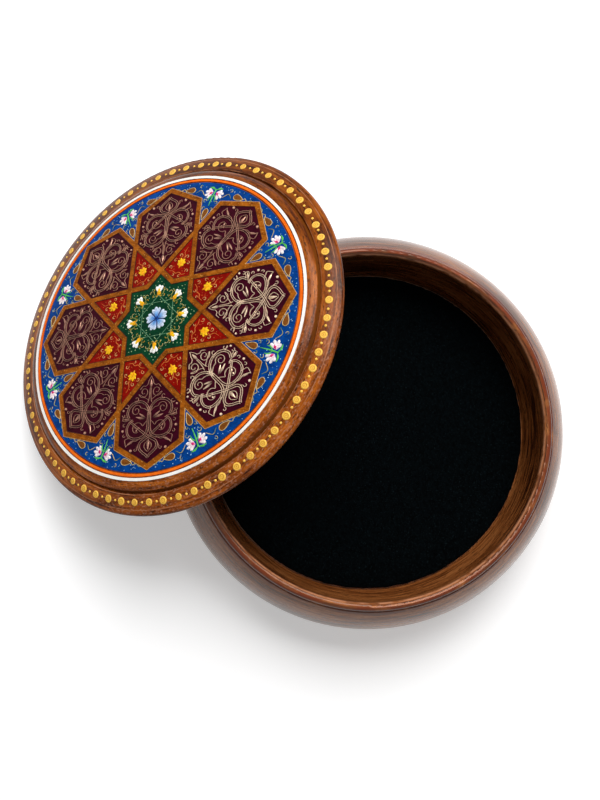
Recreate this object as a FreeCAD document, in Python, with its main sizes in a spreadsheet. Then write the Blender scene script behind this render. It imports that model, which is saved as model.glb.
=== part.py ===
"""Round painted wooden box: a turned bowl with a velvet floor, and a loose domed lid that leans on its rim.

The lid carries an eight-fold strapwork star. Each painted field of the star is a thin layer of its own on the
dome. The frame's origin is the middle of the bowl's foot, +Z is up, and sizes are in millimetres.
"""
import FreeCAD
import Part
import Sketcher

import math
import os
import re

# the star's symmetry: fields repeat by a whole step, and its lines cross at one, two and three half steps
FOLDS = 8
STEP_ANGLE = 360 / FOLDS
HALF_STEP = STEP_ANGLE / 2

SIZES = {
    # bowl: mouth, rim bead, belly, foot and hollow
    "mouth_radius": 70,
    "rim_bead": 1.7,
    "bead_wrap": 30,
    "bowl_height": 44,
    "neck_step": 0.8,
    "neck_drop": 2.8,
    "belly_swell": 10.4,
    "belly_height": 14,
    "foot_radius": 71.5,
    "foot_height": 2.5,
    "foot_step": 2.3,
    "land_depth": 8,
    "hollow_taper": 1.7,
    "floor_height": 15,
    "hollow_curve": 220,
    # velvet pad on the floor of the bowl
    "pad_clearance": 0.5,
    "pad_height": 3,
    "pad_crown": 0.6,
    "pad_tuck": 1.2,
    # lid: edge, spigot, dotted band, groove and shoulder
    "lid_overhang": 5,
    "edge_bead": 1.5,
    "edge_lip": 0.15,
    "spigot_clearance": 0.6,
    "spigot_depth": 5.2,
    "spigot_chamfer": 2.2,
    "dish_land": 7.2,
    "dish_depth": 0.6,
    "band_width": 7.5,
    "band_height": 4.9,
    "band_curve": 26,
    "groove_width": 1.5,
    "groove_drop": 0.7,
    "groove_foot": 0.6,
    "shoulder_width": 3.4,
    "shoulder_drop": 1.5,
    "shoulder_curve": 6,
    "ring_height": 7.4,
    "dome_rise": 2.9,
    # painted layers on the dome, measured in plan
    "paint_depth": 0.3,
    "strap_depth": 0.5,
    "strap_width": 2,
    "star_half": 15.3,
    "tip_inset": 2.05,
    "panel_slope": 30,
    "ground_gap": 0.6,
    "orange_width": 1,
    "ring_gap": 0.5,
    "white_width": 1.15,
    # pose of the loose lid against the bowl
    "lean_angle": 30.3,
    "lean_azimuth": 153.5,
    "lean_gap": 0.3,
    "lid_turn": 5.8,
}

# sizes that fit another piece: the bowl and lid grow from the mouth, the painted rings from the lid's edge
FITS = {
    "rim_outer": "mouth_radius + 2 * rim_bead",
    "belly_radius": "rim_outer + neck_step + belly_swell",
    "floor_radius": "mouth_radius - hollow_taper",
    "spigot_radius": "mouth_radius - spigot_clearance",
    "dish_radius": "spigot_radius - spigot_chamfer - dish_land",
    "lid_radius": "rim_outer + lid_overhang",
    "edge_middle": "lid_radius - edge_bead",
    "edge_rise": "edge_bead - edge_lip",
    "shoulder_radius": "lid_radius - band_width - groove_width",
    "white_outer": "shoulder_radius - shoulder_width",
    "white_inner": "white_outer - white_width",
    "orange_outer": "white_inner - ring_gap",
    "orange_inner": "orange_outer - orange_width",
    "ground_radius": "orange_inner - ground_gap",
    "panel_tip": "ground_radius - tip_inset",
    "dome_ball": "(white_outer^2 + dome_rise^2) / (2 * dome_rise)",
}

doc = FreeCAD.newDocument("painted_box")
sheet = doc.addObject("Spreadsheet::Sheet", "Sizes")
for row, (alias, value) in enumerate(SIZES.items(), start=1):
    sheet.set(f"A{row}", str(value))
    sheet.setAlias(f"A{row}", alias)
doc.recompute()


def written_out(match):
    """One named size as a cell of the sheet, or a fitted size as the expression that gives it."""
    alias = match.group()
    return f"({bound(FITS[alias])})" if alias in FITS else f"Sizes.{alias}"


def bound(expression):
    """The expression with every named size tied to the sheet."""
    return re.sub(r"\b[a-z]+_[a-z]+\b", written_out, expression)


def number(expression):
    """The expression's value at the sheet's present sizes."""
    return float(sheet.evalExpression(bound(expression)))


def place_point(sketch, geometry, end, across, along):
    """Ties one end of a curve to a place given by two expressions, a zero being the sketch's own axis."""
    for kind, axis, expression in (("DistanceX", -2, across), ("DistanceY", -1, along)):
        if expression == "0":
            sketch.addConstraint(Sketcher.Constraint("PointOnObject", geometry, end, axis))
            continue
        index = sketch.addConstraint(Sketcher.Constraint(kind, -1, 1, geometry, end, number(expression)))
        sketch.setExpression(f"Constraints[{index}]", bound(expression))


def outline(sketch, corners, curves=None):
    """Draws a closed outline.

    corners is a list of (across, along) expressions. curves gives, for the edge that leaves corner i, the
    radius expression of an arc and +1 or -1 for the side that it bulges to, left or right of the way of
    drawing.
    """
    curves = curves or {}
    spots = [FreeCAD.Vector(number(x), number(y), 0) for x, y in corners]
    ends = []
    for i, start in enumerate(spots):
        finish = spots[(i + 1) % len(spots)]
        if i not in curves:
            line = sketch.addGeometry(Part.LineSegment(start, finish))
            ends.append((line, 1, 2))
            continue
        radius, side = curves[i]
        chord = finish - start
        left = FreeCAD.Vector(-chord.y, chord.x, 0).normalize()
        reach = number(radius)
        rise = reach - math.sqrt(reach ** 2 - (chord.Length / 2) ** 2)
        middle = (start + finish) * 0.5 + left * (side * rise)
        arc = sketch.addGeometry(Part.Arc(start, middle, finish))
        ends.append((arc, 1, 2) if side < 0 else (arc, 2, 1))
        index = sketch.addConstraint(Sketcher.Constraint("Radius", arc, reach))
        sketch.setExpression(f"Constraints[{index}]", bound(radius))
    for i, (geometry, first, last) in enumerate(ends):
        follower, begin, _ = ends[(i + 1) % len(ends)]
        sketch.addConstraint(Sketcher.Constraint("Coincident", geometry, last, follower, begin))
        place_point(sketch, geometry, first, *corners[i])


def turned(label, corners, curves=None):
    """A body turned about its own Z axis from a profile of (radius, height) corners."""
    body = doc.addObject("PartDesign::Body", label)
    body.Label = label
    sketch = body.newObject("Sketcher::SketchObject", f"{label}_profile")
    plane = next(item for item in body.Origin.OriginFeatures if item.Role == "XZ_Plane")
    sketch.AttachmentSupport = [(plane, "")]
    sketch.MapMode = "FlatFace"
    outline(sketch, corners, curves)
    turn = body.newObject("PartDesign::Revolution", f"{label}_turning")
    turn.Profile = sketch
    turn.ReferenceAxis = (sketch, ["V_Axis"])
    turn.Angle = 360
    doc.recompute()
    return body


def make_bowl():
    """Bowl: flat foot, round belly, beaded rim set off by a groove, straight land, hollow down to a floor."""
    rim_middle = "mouth_radius + rim_bead"
    bead_height = "bowl_height - rim_bead"
    corners = [
        ("0", "0"),
        ("foot_radius", "0"),
        ("foot_radius", "foot_height"),
        ("foot_radius + foot_step", "foot_height"),
        ("belly_radius", "belly_height"),
        ("rim_outer + neck_step", "bowl_height - neck_drop"),
        (f"{rim_middle} + rim_bead * cos(bead_wrap)", f"{bead_height} - rim_bead * sin(bead_wrap)"),
        (rim_middle, "bowl_height"),
        ("mouth_radius", bead_height),
        ("mouth_radius", "bowl_height - land_depth"),
        ("floor_radius", "floor_height"),
        ("0", "floor_height"),
    ]
    lower_reach = "(belly_radius - foot_radius - foot_step)"
    lower_fall = "(belly_height - foot_height)"
    upper_rise = "(bowl_height - neck_drop - belly_height)"
    curves = {
        # the lower arc is upright at the belly, or level at the foot if the belly overhangs it far
        3: (f"({lower_reach}^2 + {lower_fall}^2) / (2 * min({lower_reach}; {lower_fall}))", -1),
        4: (f"(belly_swell + {upper_rise}^2 / belly_swell) / 2", -1),
        6: ("rim_bead", -1),
        7: ("rim_bead", -1),
        9: ("hollow_curve", 1),
    }
    return turned("bowl", corners, curves)


def make_velvet():
    """Velvet pad: drawn in at the foot, swelling to the wall, with a low crown."""
    edge = "floor_radius - pad_clearance"
    shoulder = "floor_height + pad_height"
    corners = [
        ("0", "floor_height"),
        (f"{edge} - pad_tuck", "floor_height"),
        (edge, "floor_height + pad_tuck"),
        (f"{edge} - pad_tuck", shoulder),
        ("0", f"{shoulder} + pad_crown"),
    ]
    curves = {
        3: (f"((({edge}) - pad_tuck)^2 + pad_crown^2) / (2 * pad_crown)", -1),
    }
    return turned("velvet_lining", corners, curves)


def make_lid():
    """Lid: dome, falling shoulder, groove, dotted band, round edge and a spigot that drops into the mouth."""
    corners = [
        ("0", "dish_depth - spigot_depth"),
        ("dish_radius - dish_depth", "dish_depth - spigot_depth"),
        ("dish_radius", "-spigot_depth"),
        ("spigot_radius - spigot_chamfer", "-spigot_depth"),
        ("spigot_radius", "spigot_chamfer - spigot_depth"),
        ("spigot_radius", "0"),
        ("edge_middle", "0"),
        ("edge_middle + sqrt(edge_bead^2 - edge_rise^2)", "edge_bead + edge_rise"),
        ("shoulder_radius + groove_width", "band_height"),
        ("shoulder_radius + groove_foot", "band_height - groove_drop"),
        ("shoulder_radius", "ring_height - shoulder_drop"),
        ("white_outer", "ring_height"),
        ("0", "ring_height + dome_rise"),
    ]
    curves = {
        6: ("edge_bead", -1),
        7: ("band_curve", -1),
        10: ("shoulder_curve", -1),
        11: ("dome_ball", -1),
    }
    return turned("lid", corners, curves)


def make_shell(name, depth):
    """A skin of the given depth over the lid's dome: one ball about the dome's centre cut from another."""
    balls = []
    for part, grown in (("outer", depth), ("inner", "0")):
        ball = doc.addObject("Part::Sphere", f"{name}_{part}")
        ball.setExpression("Radius", bound(f"dome_ball + {grown}"))
        # the poles lie level, far from the painted dome
        ball.Placement.Rotation = FreeCAD.Rotation(FreeCAD.Vector(1, 0, 0), 90)
        ball.setExpression("Placement.Base.z", bound("ring_height + dome_rise - dome_ball"))
        balls.append(ball)
    shell = doc.addObject("Part::Cut", name)
    shell.Base, shell.Tool = balls
    return shell


def flat_sketch(name, *outlines):
    """A plan drawing of one field, with each outline given by its corners."""
    sketch = doc.addObject("Sketcher::SketchObject", name)
    for corners in outlines:
        outline(sketch, corners)
    return sketch


def ring_sketch(name, *radii):
    """A plan drawing of one or two circles about the lid's axis."""
    sketch = doc.addObject("Sketcher::SketchObject", name)
    for radius in radii:
        circle = Part.Circle(FreeCAD.Vector(), FreeCAD.Vector(0, 0, 1), number(radius))
        geometry = sketch.addGeometry(circle)
        sketch.addConstraint(Sketcher.Constraint("Coincident", geometry, 3, -1, 1))
        index = sketch.addConstraint(Sketcher.Constraint("Radius", geometry, number(radius)))
        sketch.setExpression(f"Constraints[{index}]", bound(radius))
    return sketch


def prism(name, sketch, turn=0.0):
    """A plan drawing raised past the top of the dome and turned about the lid's axis."""
    block = doc.addObject("Part::Extrusion", name)
    block.Base = sketch
    block.DirMode = "Custom"
    block.Dir = FreeCAD.Vector(0, 0, 1)
    block.setExpression("LengthFwd", bound("2 * (ring_height + dome_rise)"))
    block.Solid = True
    block.Placement.Rotation = FreeCAD.Rotation(FreeCAD.Vector(0, 0, 1), turn)
    return block


def meet(kind, label, base, tool):
    """A boolean of two solids, under the label of its node."""
    result = doc.addObject(kind, label)
    result.Label = label
    result.Base = base
    result.Tool = tool
    return result


def polar(radius, angle):
    """Corner at a radius expression and an angle in degrees about the lid's axis."""
    if angle % 180 == 0:
        return (f"({radius}) * cos({angle})", "0")
    if angle % 180 == 90:
        return ("0", f"({radius}) * sin({angle})")
    return (f"({radius}) * cos({angle})", f"({radius}) * sin({angle})")


def kite_corners():
    """Kite between two crossing straps and the star's notch, along +X: outer tip, side, inner tip, side."""
    inside = "(star_half - strap_width / 2)"
    outside = "(star_half + strap_width / 2)"
    steep = 3 * HALF_STEP
    side_x = f"{inside} * cos({steep}) + {outside} * cos({HALF_STEP})"
    side_y = f"{inside} * sin({steep}) - {outside} * sin({HALF_STEP})"
    return [
        (f"{inside} / cos({steep})", "0"),
        (side_x, side_y),
        (f"{outside} / cos({HALF_STEP})", "0"),
        (side_x, f"-({side_y})"),
    ]


def panel_corners(grown):
    """Long six-sided panel along +X, with its edges moved out from the strap's middle line by grown."""
    half = f"(star_half + {grown})"
    inner = f"(star_half - {grown})"
    tip = f"panel_tip + {grown} / cos(panel_slope)"
    corner_x = f"{tip} - {half} * tan(panel_slope)"
    inner_x = f"{inner} / cos({STEP_ANGLE})"
    shoulder_x = f"{inner_x} + {half} * tan({STEP_ANGLE})"
    return [
        (inner_x, "0"),
        (shoulder_x, f"-{half}"),
        (corner_x, f"-{half}"),
        (tip, "0"),
        (corner_x, half),
        (shoulder_x, half),
    ]


def star_corners():
    """Sixteen-sided star inside the straps: tips between the kites, notches on the kites' axes."""
    inside = "(star_half - strap_width / 2)"
    corners = []
    for k in range(FOLDS):
        corners.append(polar(f"{inside} / cos({HALF_STEP})", k * STEP_ANGLE))
        corners.append(polar(f"{inside} / cos({STEP_ANGLE})", k * STEP_ANGLE + HALF_STEP))
    return corners


def make_layers():
    """Painted layers on the dome: star, kites, panels, straps, the ground outside them and two rings."""
    paint = make_shell("paint_skin", "paint_depth")
    strap = make_shell("strap_skin", "strap_depth")

    star_block = prism("star_block", flat_sketch("star_plan", star_corners()))
    kite_plan = flat_sketch("kite_plan", kite_corners())
    panel_plan = flat_sketch("panel_plan", panel_corners("-strap_width / 2"))
    frame_plan = flat_sketch("frame_plan", panel_corners("strap_width / 2"))
    turns = [k * STEP_ANGLE for k in range(FOLDS)]
    kites = [prism(f"kite_block_{k}", kite_plan, turn) for k, turn in enumerate(turns, 1)]
    panels = [prism(f"panel_block_{k}", panel_plan, turn + HALF_STEP) for k, turn in enumerate(turns, 1)]
    frames = [prism(f"frame_block_{k}", frame_plan, turn + HALF_STEP) for k, turn in enumerate(turns, 1)]

    layers = [meet("Part::Common", "green_star", star_block, paint)]
    for k, block in enumerate(kites, 1):
        layers.append(meet("Part::Common", f"red_kite_{k}", block, paint))
    for k, block in enumerate(panels, 1):
        layers.append(meet("Part::Common", f"purple_panel_{k}", block, paint))

    # the straps fill the star's whole outline apart from its fields
    middle = prism("middle_block", ring_sketch("middle_plan", f"star_half / cos({3 * HALF_STEP})"))
    whole = doc.addObject("Part::MultiFuse", "star_outline")
    whole.Shapes = [middle, *frames]
    fields = doc.addObject("Part::Compound", "star_fields")
    fields.Links = [star_block, *kites, *panels]
    strap_sheet = meet("Part::Common", "strap_sheet", whole, strap)
    layers.append(meet("Part::Cut", "strapwork", strap_sheet, fields))

    ground_block = prism("ground_block", ring_sketch("ground_plan", "ground_radius"))
    ground_sheet = meet("Part::Common", "ground_sheet", ground_block, paint)
    layers.append(meet("Part::Cut", "blue_ground", ground_sheet, whole))
    for label, inner, outer in (
        ("orange_ring", "orange_inner", "orange_outer"),
        ("white_ring", "white_inner", "white_outer"),
    ):
        ring_block = prism(f"{label}_block", ring_sketch(f"{label}_plan", outer, inner))
        layers.append(meet("Part::Common", label, ring_block, paint))
    return layers


def lean_placement():
    """Pose of the loose lid: it stands on the table and its underside lies on the bowl's rim."""
    angle = math.radians(number("lean_angle"))
    # what may meet the table, as radius, height and roundness: the edge bead and the spigot's two corners
    feet = (
        ("edge_middle", "edge_bead", "edge_bead"),
        ("spigot_radius", "spigot_chamfer - spigot_depth", "0"),
        ("spigot_radius - spigot_chamfer", "-spigot_depth", "0"),
    )
    height = max(
        number(across) * math.sin(angle) - number(along) * math.cos(angle) + number(round_off)
        for across, along, round_off in feet
    )
    rim_radius = number("mouth_radius + rim_bead")
    rim_height = number("bowl_height - rim_bead")
    clear = number("rim_bead + lean_gap + spigot_depth - dish_depth")
    reach = rim_radius + ((rim_height - height) * math.cos(angle) + clear) / math.sin(angle)
    upright = FreeCAD.Vector(0, 0, 1)
    turn = FreeCAD.Rotation(upright, number("lean_azimuth"))
    tilt = FreeCAD.Rotation(FreeCAD.Vector(0, 1, 0), number("lean_angle"))
    spin = FreeCAD.Rotation(upright, number("lid_turn"))
    spot = turn.multVec(FreeCAD.Vector(reach, 0, height))
    return FreeCAD.Placement(spot, turn * tilt * spin)


def check(parts):
    """Stops if any object failed to build or any piece is empty or broken."""
    for item in doc.Objects:
        if {"Invalid", "Error"} & set(item.State):
            raise RuntimeError(f"{item.Label} did not build: {item.State}")
    for part in parts:
        if part.Shape.isNull() or not part.Shape.isValid() or not part.Shape.Solids:
            raise RuntimeError(f"{part.Label} has no sound solid")


bowl = make_bowl()
velvet = make_velvet()
lid = make_lid()
layers = make_layers()
pose = lean_placement()
for part in (lid, *layers):
    part.Placement = pose
doc.recompute()

nodes = [bowl, velvet, lid, *layers]
check(nodes)
os.makedirs("parts", exist_ok=True)
for part in nodes:
    part.Shape.exportStep(f"parts/{part.Label}.step")
    print(f"{part.Label}: {len(part.Shape.Solids)} solid, {part.Shape.Volume:.1f} mm3")
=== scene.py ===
"""Round painted wooden box with a loose domed lid that leans on its rim.

Sizes in the classes are millimetres and degrees, as on a drawing. Meshes are in metres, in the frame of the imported
model. The lid's ornament is drawn in plan about the lid's axis, one side of one fold at a time, and laid on the dome.
"""
import logging
import math
from dataclasses import dataclass, field
from enum import Enum

import bmesh
import bpy
import numpy as np
from mathutils import Matrix, Vector


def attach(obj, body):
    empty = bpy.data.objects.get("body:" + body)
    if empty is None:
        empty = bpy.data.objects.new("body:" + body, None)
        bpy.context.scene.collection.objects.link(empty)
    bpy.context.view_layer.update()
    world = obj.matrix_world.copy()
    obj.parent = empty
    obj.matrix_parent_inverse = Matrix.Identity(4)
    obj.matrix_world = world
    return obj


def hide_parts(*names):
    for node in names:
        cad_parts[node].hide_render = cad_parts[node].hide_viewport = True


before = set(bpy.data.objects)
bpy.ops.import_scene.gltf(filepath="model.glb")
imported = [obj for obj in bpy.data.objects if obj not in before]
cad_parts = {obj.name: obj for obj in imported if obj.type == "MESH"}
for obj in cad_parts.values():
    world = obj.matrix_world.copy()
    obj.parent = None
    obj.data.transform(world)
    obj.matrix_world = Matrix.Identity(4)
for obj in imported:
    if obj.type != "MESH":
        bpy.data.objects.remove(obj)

Array = np.ndarray
Pair = tuple[float, float]
Triple = tuple[float, float, float]
Colour = tuple[float, float, float]
Spot = Pair | Array
Stops = tuple[Pair, ...]
Socket = bpy.types.NodeSocket
Material = bpy.types.Material
Piece = bpy.types.Object

LOG = logging.getLogger("painted_box")
MM = 0.001
TINY = 1e-12
FOLDS = 8
STEP = 360 / FOLDS
HALF_STEP = STEP / 2
MIRROR = (1, -1)
SMOOTH_BELOW = 50.0
NOISE_ENDS = (0.3, 0.7)
LINE_POINTS = 4
SPAN_POINTS = 16
CURL_POINTS = 6
CURL_STEP = 20
LEAF_STEPS = 9
LEAF_POINT = 0.12
LEAF_LOW = 0.4


class Tint(Enum):
    """Brush colours of the painted ornament, as linear values."""

    PALE_GOLD = (0.72, 0.52, 0.20)
    YELLOW = (0.98, 0.62, 0.01)
    DEEP_YELLOW = (0.86, 0.34, 0.005)
    SCROLL = (0.58, 0.14, 0.025)
    WHITE = (0.93, 0.92, 0.88)
    PINK = (0.70, 0.02, 0.18)
    BLUSH = (0.90, 0.58, 0.70)
    LEAF = (0.10, 0.50, 0.08)
    VINE = (0.12, 0.22, 0.03)
    THREAD = (0.13, 0.30, 0.17)
    DOT = (0.36, 0.52, 0.26)
    SKY = (0.34, 0.62, 0.86)
    ICE = (0.72, 0.82, 0.92)
    PETAL_BLUE = (0.015, 0.15, 0.55)
    DARK_BLUE = (0.002, 0.02, 0.13)
    LEAF_BROWN = (0.19, 0.055, 0.004)
    OUTLINE = (0.05, 0.010, 0.004)
    # Painted highlight on the straps' outer edges.
    EDGE = (0.80, 0.46, 0.14)
    # Lit, half-lit and shaded copies of the relief gold and of the bands between its ridges: painted light.
    RIDGE_LIT = (0.98, 0.75, 0.52)
    RIDGE_HALF_LIT = (0.66, 0.37, 0.25)
    RIDGE_SHADED = (0.54, 0.29, 0.20)
    BAND_LIT = (0.055, 0.012, 0.012)
    BAND_HALF_LIT = (0.030, 0.004, 0.008)
    BAND_SHADED = (0.026, 0.003, 0.007)
    COIN = (0.90, 0.52, 0.08)
    COIN_RING = (0.55, 0.24, 0.02)


Tints = Tint | tuple[Tint, Tint]


class GildingLight(Enum):
    """Painted light on a panel's gold: lit, half-lit and shaded copies of the colours of its ridges and of the band
    between them, and a ridge's width, widest where lit.
    """

    LIT = (Tint.RIDGE_LIT, Tint.BAND_LIT, 0.25)
    HALF_LIT = (Tint.RIDGE_HALF_LIT, Tint.BAND_HALF_LIT, 0.18)
    SHADED = (Tint.RIDGE_SHADED, Tint.BAND_SHADED, 0.17)


class Profile(Enum):
    """Sections of a stroke: shares of its half width across and of its height up, from left to right."""

    BRUSH = ((-1.0, -0.75, -0.28, 0.28, 0.75, 1.0), (-0.4, 0.6, 1.0, 1.0, 0.6, -0.4))
    WIRE = ((-1.0, -0.5, 0.5, 1.0), (-0.4, 1.0, 1.0, -0.4))


class Streak(Enum):
    """Marks in turned wood: noise with turns round the ring, changes to a metre across, detail and roughness."""

    FIGURE = (1.8, 110.0, 3.0, 0.6)
    GRAIN = (4.2, 700.0, 4.0, 0.66)
    PORES = (30.0, 1900.0, 2.0, 0.5)
    DASHES = (13.0, 420.0, 3.0, 0.6)
    # Noise for the painted glare specks.
    GLARE_SPECKS = (70.0, 1500.0, 2.0, 0.5)


@dataclass(frozen=True)
class LidPose:
    """Place of the loose lid: it stands on the table and lies on the rim.

    The edge bead touches the table, and the underside keeps its gap from the rim bead's middle line.
    """

    lean: float = 30.3
    azimuth: float = 153.5
    turn: float = 5.8
    edge_ring: float = 76.9
    edge_bead: float = 1.5
    rim_ring: float = 71.7
    rim_height: float = 42.3
    clear: float = 6.6

    def matrix(self) -> Matrix:
        """Lays the lid's drawing in the frame: spin, tilt by the lean, turn to the azimuth, then shift.

        Returns:
            Lid drawing to frame, in millimetres.
        """
        lean = math.radians(self.lean)
        height = self.edge_ring * math.sin(lean) - self.edge_bead * math.cos(lean) + self.edge_bead
        fall = (self.rim_height - height) * math.cos(lean) + self.clear
        reach = self.rim_ring + fall / math.sin(lean)
        turn = Matrix.Rotation(math.radians(self.azimuth), 4, "Z")
        tilt = Matrix.Rotation(lean, 4, "Y")
        spin = Matrix.Rotation(math.radians(self.turn), 4, "Z")
        return Matrix.Translation(turn @ Vector((reach, 0, height))) @ turn @ tilt @ spin

    def to_frame(self, points: Array) -> Array:
        """Points of the lid's drawing as places in the frame, in metres."""
        matrix = np.array(self.matrix())
        return (points @ matrix[:3, :3].T + matrix[:3, 3]) * MM


@dataclass(frozen=True)
class Dome:
    """The lid's painted dome, part of a ball about a point on the lid's axis."""

    pose: LidPose = LidPose()
    edge_radius: float = 66.0
    rise: float = 2.9
    ring_height: float = 7.4
    paint: float = 0.3

    @property
    def ball(self) -> float:
        """Radius of the ball: half the sum of edge squared over rise, and rise."""
        return (self.edge_radius**2 / self.rise + self.rise) / 2

    def place(self, plan: Array, height: Array | float) -> Array:
        """Lays plan points on the dome.

        Args:
            plan: Points in plan, in millimetres, with x and y last.
            height: Height of each point above the paint, along the ball's radius.

        Returns:
            Places in the frame, in metres: centre plus direction times ball radius, paint and height.
        """
        up = np.sqrt(self.ball**2 - np.sum(plan**2, axis=-1))
        direction = np.concatenate([plan, up[..., None]], axis=-1) / self.ball
        reach = self.ball + self.paint + np.broadcast_to(height, up.shape)
        points = direction * reach[..., None]
        points[..., 2] += self.ring_height + self.rise - self.ball
        return self.pose.to_frame(points)


def polar(radius: Array | float, angle: Array | float) -> Array:
    """Plan points at a radius and an angle in degrees."""
    a = np.radians(angle)
    return np.stack([radius * np.cos(a), radius * np.sin(a)], axis=-1)


def turned(points: Array, angle: float) -> Array:
    """Plan points turned about the lid's axis by an angle in degrees."""
    a = math.radians(angle)
    return points @ np.array([[math.cos(a), math.sin(a)], [-math.sin(a), math.cos(a)]])


def evenly(points: Array, step: float) -> Array:
    """Spaces the points of a line evenly, by arc length.

    Args:
        points: Plan points of the line.
        step: Distance that the new points lie apart at most.

    Returns:
        New points on the same line.
    """
    length = np.concatenate([[0], np.cumsum(np.linalg.norm(np.diff(points, axis=0), axis=1))])
    count = max(int(math.ceil(length[-1] / step)) + 1, LINE_POINTS)
    where = np.linspace(0, length[-1], count)
    return np.stack([np.interp(where, length, points[:, i]) for i in (0, 1)], axis=1)


def smooth_line(points: list | Array, step: float = 0.3) -> Array:
    """Draws a line through points: on each span a cubic whose ends lean along their neighbours' chord.

    Args:
        points: Plan points that the line goes through.
        step: Distance that the line's points lie apart at most.

    Returns:
        Plan points of the line.
    """
    p = np.asarray(points, float)
    p = np.vstack([2 * p[0] - p[1], p, 2 * p[-1] - p[-2]])
    t = np.linspace(0, 1, SPAN_POINTS)[None, :, None]
    a, b, c, d = (p[i : len(p) - 3 + i, None, :] for i in range(4))
    line = 0.5 * (2 * b + (c - a) * t + (2 * a - 5 * b + 4 * c - d) * t**2 + (3 * b - a - 3 * c + d) * t**3)
    return evenly(line.reshape(-1, 2), step)


def volute(centre: Pair, radii: Pair, angles: Pair, lead: list[Pair] | None = None) -> Array:
    """Draws a spiral whose radius goes evenly from first to last over its angles.

    Args:
        centre: Plan point that it winds round.
        radii: First and last radius.
        angles: First and last angle in degrees.
        lead: Plan points along which the spiral is entered.

    Returns:
        Plan points of the line.
    """
    angle = np.linspace(*angles, max(int(abs(angles[1] - angles[0]) / CURL_STEP), CURL_POINTS))
    curl = np.array(centre) + polar(np.linspace(*radii, len(angle)), angle)
    return smooth_line(np.vstack([lead, curl]) if lead else curl)


def swell(count: int, start: float, end: float, belly: float = 0.4) -> Array:
    """Shares of full width along a stroke: even slopes from both ends to one at the belly, to the power 0.8."""
    return np.interp(np.linspace(0, 1, count), (0, belly, 1), (start, 1, end)) ** 0.8


def drop_shape(count: int) -> Array:
    """Shares of full width of a teardrop: the root of the way along, times a power of the way that is left."""
    t = np.linspace(0, 1, count)
    return np.clip(2.35 * np.sqrt(t + 0.004) * (1 - t) ** 1.1, 0.05, 1)


def petal_shape(count: int) -> Array:
    """Shares of full width of a petal: an even slope from its base, times a root that falls off at the blunt end."""
    t = np.linspace(0, 1, count)
    return np.clip((0.22 + 0.95 * t) * np.sqrt(np.clip(1.02 - t**5, 0, 1)), 0.1, 1)


def normals(path: Array, closed: bool = False) -> Array:
    """Works out the directions square to a path: its points' differences, turned left and made one long.

    Args:
        path: Plan points of the path.
        closed: Whether the path runs back to its start.

    Returns:
        One plan direction for each point.
    """
    along = np.roll(path, -1, axis=0) - np.roll(path, 1, axis=0) if closed else np.gradient(path, axis=0)
    square = np.stack([-along[:, 1], along[:, 0]], axis=1)
    return square / (np.linalg.norm(square, axis=1, keepdims=True) + TINY)


def grid_quads(rows: int, columns: int, closed: bool = False) -> Array:
    """Joins a grid of points, whose rows each run back to their start, by four-cornered faces.

    Args:
        rows: Number of rows.
        columns: Number of points in a row.
        closed: Whether the last row joins the first.

    Returns:
        Corner numbers of each face, with the points counted row by row.
    """
    i = np.arange(rows if closed else rows - 1)[:, None]
    j = np.arange(columns)[None, :]
    k, q = (i + 1) % rows * columns, (j + 1) % columns
    return np.stack([i * columns + j, k + j, k + q, i * columns + q], axis=-1).reshape(-1, 4)


def fan(first: int, count: int, tip: int) -> Array:
    """Triangles from a ring of points, counted from its first, to a tip."""
    j = np.arange(count)
    return np.stack([first + j, first + (j + 1) % count, np.full(count, tip)], axis=1)


@dataclass(frozen=True)
class Disc:
    """A low round drop: rings at shares of its radius and a top point, each with its share of the height."""

    rings: tuple[float, ...]
    lifts: tuple[float, ...]
    sides: int

    def plan(self) -> Array:
        """Plan points of the rings and of the top, for a radius of one."""
        circle = polar(1.0, np.arange(self.sides) * 360 / self.sides)
        return np.concatenate([*(share * circle for share in self.rings), np.zeros((1, 2))])

    def spread(self, values: Array) -> Array:
        """One value for each point, from one for each ring and one for the top."""
        return np.concatenate([np.repeat(values[:-1], self.sides, axis=0), values[-1:]])

    def faces(self) -> list[Array]:
        """Joins the points: bands between the rings, triangles to the top, and one face below.

        Returns:
            Corner numbers of each face.
        """
        last = (len(self.rings) - 1) * self.sides
        bands = grid_quads(len(self.rings), self.sides)
        return [*bands, *fan(last, self.sides, last + self.sides), np.arange(self.sides)[::-1]]


def add_object(name: str, data: bpy.types.ID) -> Piece:
    """Shows a mesh, a lamp or a camera in the scene.

    Args:
        name: Name of the new object.
        data: What it shows.

    Returns:
        The object, at the origin.
    """
    made = bpy.data.objects.new(name, data)
    bpy.context.scene.collection.objects.link(made)
    return made


def make_piece(
    name: str, points: Array, faces: list[list[int]], material: Material, body: str, tints: Array | None = None
) -> Piece:
    """Makes a mesh object at the origin, with faces turned outwards, that rides on a body.

    Args:
        name: Name of the piece.
        points: Places in the frame, in metres.
        faces: Corner numbers of each face.
        material: Finish of the whole piece.
        body: Body that carries it.
        tints: Colour at each point, where the finish reads one.

    Returns:
        The new object.
    """
    mesh = bpy.data.meshes.new(name)
    mesh.from_pydata(points.tolist(), [], faces)
    if tints is not None:
        colour = mesh.attributes.new("tint", "FLOAT_COLOR", "POINT")
        colour.data.foreach_set("color", np.c_[tints, np.ones(len(tints))].astype(np.float32).ravel())
    work = bmesh.new()
    work.from_mesh(mesh)
    bmesh.ops.recalc_face_normals(work, faces=work.faces)
    work.to_mesh(mesh)
    work.free()
    mesh.polygons.foreach_set("use_smooth", np.ones(len(mesh.polygons), bool))
    mesh.set_sharp_from_angle(angle=math.radians(SMOOTH_BELOW))
    mesh.materials.append(material)
    piece = add_object(name, mesh)
    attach(piece, body)
    LOG.info("%s: %d faces", name, len(mesh.polygons))
    return piece


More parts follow.
